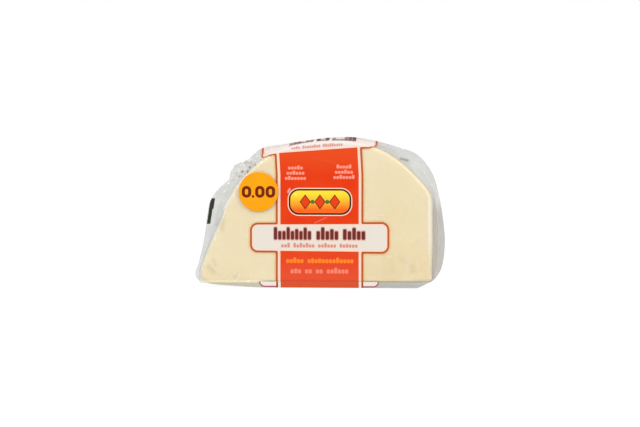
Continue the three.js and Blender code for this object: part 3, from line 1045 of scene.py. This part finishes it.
def film_material():
    m = Material("film")
    x, y, z = m.axes()
    front = (y - MID_Y) * -1.0
    on_front = front.ramp(-0.2, 0.2)
    depth = ((front.abs() - (HALF_DEPTH - FILM_INSET)) * -1.0).max(0.0)
    ink, cover = band_print(m, x, z, depth, on_front)

    margin_start = x.ramp(10.0, 40.0) * MARGIN_START_RIGHT + MARGIN_START
    margin = (depth - margin_start).ramp(0.0, MARGIN_FADE)
    leftward = x.ramp(*LEFT_END)
    # The strip under the fold: film haze, with painted shade where it faces down.
    strip = (z + leftward * STRIP_DROP).ramp(*STRIP_Z)
    # Painted light on the lower rounded edge at the left, where the film turns under.
    foot = z.ramp(*FOOT_Z) * leftward * depth.ramp(*FOOT_DEPTH)
    # Painted highlight: a pale haze along the rounded edges of the face, where the film's edge catches the
    # light.
    left_rim_highlight = depth.ramp(0.02, 0.4) * depth.ramp(3.4, 1.7) * x.ramp(*LEFT_RIM_X) * z.ramp(*LEFT_RIM_Z)
    right_rim_highlight = x.ramp(*RIGHT_RIM_X) * depth.ramp(5.8, 3.6) * z.ramp(*RIGHT_RIM_LOW) * z.ramp(*RIGHT_RIM_HIGH)
    rim_highlight = (left_rim_highlight * 0.22).max(right_rim_highlight * 0.5)
    away = (x - GATHER_CENTRE[0]).length(z - GATHER_CENTRE[1])
    crush = away.ramp(1.1 * GATHER_REACH, 0.5 * GATHER_REACH) * margin
    # Painted shade: the margin on the right is tinted darker.
    right_shade = x.ramp(*RIGHT_X) * z.ramp(*RIGHT_Z) * margin
    side_shade = x.ramp(*SIDE_X) * z.ramp(*SIDE_Z) * depth.ramp(*SIDE_DEPTH)
    side_shade = side_shade * depth.ramp(*SIDE_DEPTH_END) * margin
    # Painted shade of the short fold at the upper right.
    pinch_shade = strongest([streak_distance(x, z, start, end).ramp(*fade) * strength
                       for start, end, fade, strength in PINCHES]) * on_front
    facets = m.facets(0.42)
    clouds = m.noise(0.1, 2)

    relief = m.noise(0.12) * 0.6 + m.noise(0.35, 2) * 0.12
    surface = m.bump(relief + facets * crush * 2.0, strength=0.5, distance=0.4)
    tint = m.mix(right_shade, m.mix(margin, FACE_TINT, MARGIN_TINT), RIGHT_SHADE_TINT)
    tint = m.mix(side_shade, tint, SHADE_TINT)
    clear = m.shader("ShaderNodeBsdfTransparent", Color=tint)
    # Painted shade in the creases and deepest hollows of the crushed film.
    crumple_shade = facets.ramp(0.09, 0.02) * crush * m.noise(0.3).ramp(0.45, 0.6) * 0.5
    for spot_x, spot_z, radius in GATHER_SPOTS:
        crumple_shade = crumple_shade.max(disc_distance(x, z, (spot_x, spot_z), radius).ramp(0.6, -0.3) * on_front)
    # Painted highlights on the brightest ridges of the crumple.
    lights = strongest([streak_distance(x, z, start, end).ramp(1.3, 0.2) * on_front
                        for start, end in GATHER_HIGHLIGHTS])
    haze = m.mix(crush, HAZE, CRUSH_HAZE)
    haze = m.mix(rim_highlight.ramp(0.0, 0.2), haze, RIM_HIGHLIGHT)
    haze = m.mix(foot, haze, PAINTED_FOOT_LIGHT)
    haze = m.mix(strip, haze, m.mix(leftward, STRIP_HAZE_AND_SHADE, STRIP_HAZE_AND_SHADE_LEFT))
    haze = m.mix(side_shade * (rim_highlight * -1.6 + 1.0), haze, SHADE_HAZE)
    haze = m.mix(crumple_shade.max(pinch_shade), haze, FOLD_SHADE)
    misty = m.shader("ShaderNodeBsdfDiffuse", Color=haze)
    share = clouds * 0.05 + 0.01 + margin * (clouds.ramp(0.35, 0.65) * 0.12 + 0.06)
    share = share + crush * (clouds.ramp(0.4, 0.6) * 0.25 + 0.1) + rim_highlight
    share = share.max(strip * 0.7).max(foot * 0.5).max(lights * 0.5).max(crumple_shade * 0.75).max(pinch_shade * 0.93)
    sheet = m.blend(share, clear, misty)

    gloss = m.shader("ShaderNodeBsdfGlossy", surface, Roughness=0.14)
    angle = m.new("ShaderNodeLayerWeight")
    angle.inputs["Blend"].default_value = 0.5
    m.link(surface, angle.inputs["Normal"])
    mirror = Field(m.tree, angle.outputs["Facing"]).math("POWER", 5.0) * 0.9 + 0.05
    sheet = m.blend(mirror, sheet, gloss)
    inked = m.shader("ShaderNodeBsdfPrincipled", surface, Base_Color=ink, Roughness=0.28, IOR=1.45,
                     Specular_IOR_Level=0.12)
    whole = m.blend(cover, sheet, inked)
    # Painted shade in the hollows of the creases, kept off the ink.
    hollow_shade = m.shader("ShaderNodeBsdfDiffuse", Color=HOLLOW_SHADE)
    whole = m.blend(crease_marks(x, z, -1) * on_front * cover.rest(), whole, hollow_shade)
    # Painted highlight along the ridges of the creases.
    ridge_highlight = m.shader("ShaderNodeBsdfDiffuse", Color=RIDGE_HIGHLIGHT)
    return m.finish(m.blend(crease_marks(x, z, 1) * on_front, whole, ridge_highlight))


# ---------------------------------------------------------------- sticker material

STICKER_COLOUR = colour(230, 149, 0)
STICKER_SHADE = colour(226, 142, 0)
DIGIT_COLOUR = colour(104, 26, 0)
DIGIT_PLACES = (-6.0, 0.7, 6.0)
DIGIT_HALF = (2.4, 2.95)
DIGIT_CORNER = 2.3
DIGIT_HOLE = (0.8, 1.45)
POINT_PLACE = (-2.75, -2.3)
POINT_HALF = (0.62, 0.62)
POINT_CORNER = 0.25


def sticker_material():
    m = Material("sticker")
    x, _, z = m.axes()
    point = (STICKER_CENTRE[0] + POINT_PLACE[0], STICKER_CENTRE[1] + POINT_PLACE[1])
    digits = box_distance(x, z, point, POINT_HALF, POINT_CORNER)
    for place in DIGIT_PLACES:
        centre = (STICKER_CENTRE[0] + place, STICKER_CENTRE[1])
        outer = box_distance(x, z, centre, DIGIT_HALF, DIGIT_CORNER)
        digits = digits.min(outer.max(-box_distance(x, z, centre, DIGIT_HOLE, DIGIT_HOLE[0])))
    base = m.mix(m.noise(0.08, 3).ramp(0.3, 0.7), STICKER_COLOUR, STICKER_SHADE)
    base = m.mix(digits.inside(), base, DIGIT_COLOUR)
    relief = m.bump(m.noise(1.5, 4), strength=0.15, distance=0.1)
    return m.finish(m.shader("ShaderNodeBsdfPrincipled", relief, Base_Color=base, Roughness=0.5,
                             Specular_IOR_Level=0.12))


# ---------------------------------------------------------------- stage

# The floor and the lamps are in metres.
FLOOR_RADIUS = 9.0
FLOOR_SIDES = 96
FLOOR_DROP = 0.0001
FLOOR_PALE = 0.98
FLOOR_GLOW = 0.85  # share of the floor's brightness that comes from below, as on a light table
FLOOR_LIGHT = 0.86
LIGHT_AIM = Vector((0, 0, 0.04))
LIGHTS = (  # name, place, size and power in watts
    ("key", (-0.8, -1.1, 0.9), (0.3, 0.3), 3.8),
    ("right_strip", (1.2, -0.8, 0.7), (0.2, 1.4), 8.3),
    ("left_strip", (-1.2, -0.6, 0.5), (0.12, 0.8), 2.75),
    ("top", (0.1, -0.2, 1.4), (0.5, 0.3), 3.3),
)


def make_stage():
    """A wide pale floor, which meets the white surroundings at the horizon."""
    angles = np.linspace(0, 2 * math.pi, FLOOR_SIDES, endpoint=False)
    points = [(0, 0, -FLOOR_DROP)]
    points += [(FLOOR_RADIUS * math.cos(a), FLOOR_RADIUS * math.sin(a), -FLOOR_DROP) for a in angles]
    faces = [(0, 1 + i, 1 + (i + 1) % len(angles)) for i in range(len(angles))]
    mesh = bpy.data.meshes.new("floor")
    mesh.from_pydata(points, [], faces)
    floor = bpy.data.objects.new("floor", mesh)
    bpy.context.scene.collection.objects.link(floor)
    m = Material("floor")
    pale = FLOOR_PALE * (1 - FLOOR_GLOW)
    mesh.materials.append(m.finish(m.shader(
        "ShaderNodeBsdfPrincipled", Base_Color=(pale, pale, pale, 1.0), Roughness=0.9, Specular_IOR_Level=0.1,
        Emission_Color=(1.0, 1.0, 1.0, 1.0), Emission_Strength=FLOOR_LIGHT)))


def make_light(name, place, size, power):
    data = bpy.data.lights.new(name, "AREA")
    data.shape = "RECTANGLE"
    data.size, data.size_y = size
    data.energy = power
    light = bpy.data.objects.new(name, data)
    light.location = place
    light.rotation_euler = (LIGHT_AIM - Vector(place)).to_track_quat("-Z", "Y").to_euler()
    bpy.context.scene.collection.objects.link(light)


def make_world():
    world = bpy.data.worlds.new("studio")
    world.use_nodes = True
    background = world.node_tree.nodes["Background"]
    background.inputs["Color"].default_value = (1.0, 1.0, 1.0, 1.0)
    background.inputs["Strength"].default_value = 1.0
    bpy.context.scene.world = world


# ---------------------------------------------------------------- assembly

make_camera()
make_world()
make_stage()
for light in LIGHTS:
    make_light(*light)

cheese = make_cheese()
cheese.data.materials.append(cheese_material())
film = make_film()
film.data.materials.append(film_material())
label = make_sticker()
label.data.materials.append(sticker_material())

for piece, node, slot in ((cheese, "cheese_pack", "cheese"), (film, "cheese_pack", "film"),
                          (label, "price_sticker", "sticker")):
    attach(piece, "root")
    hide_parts(node)

scene = bpy.context.scene
scene.view_settings.view_transform = "Standard"
scene.view_settings.look = "None"
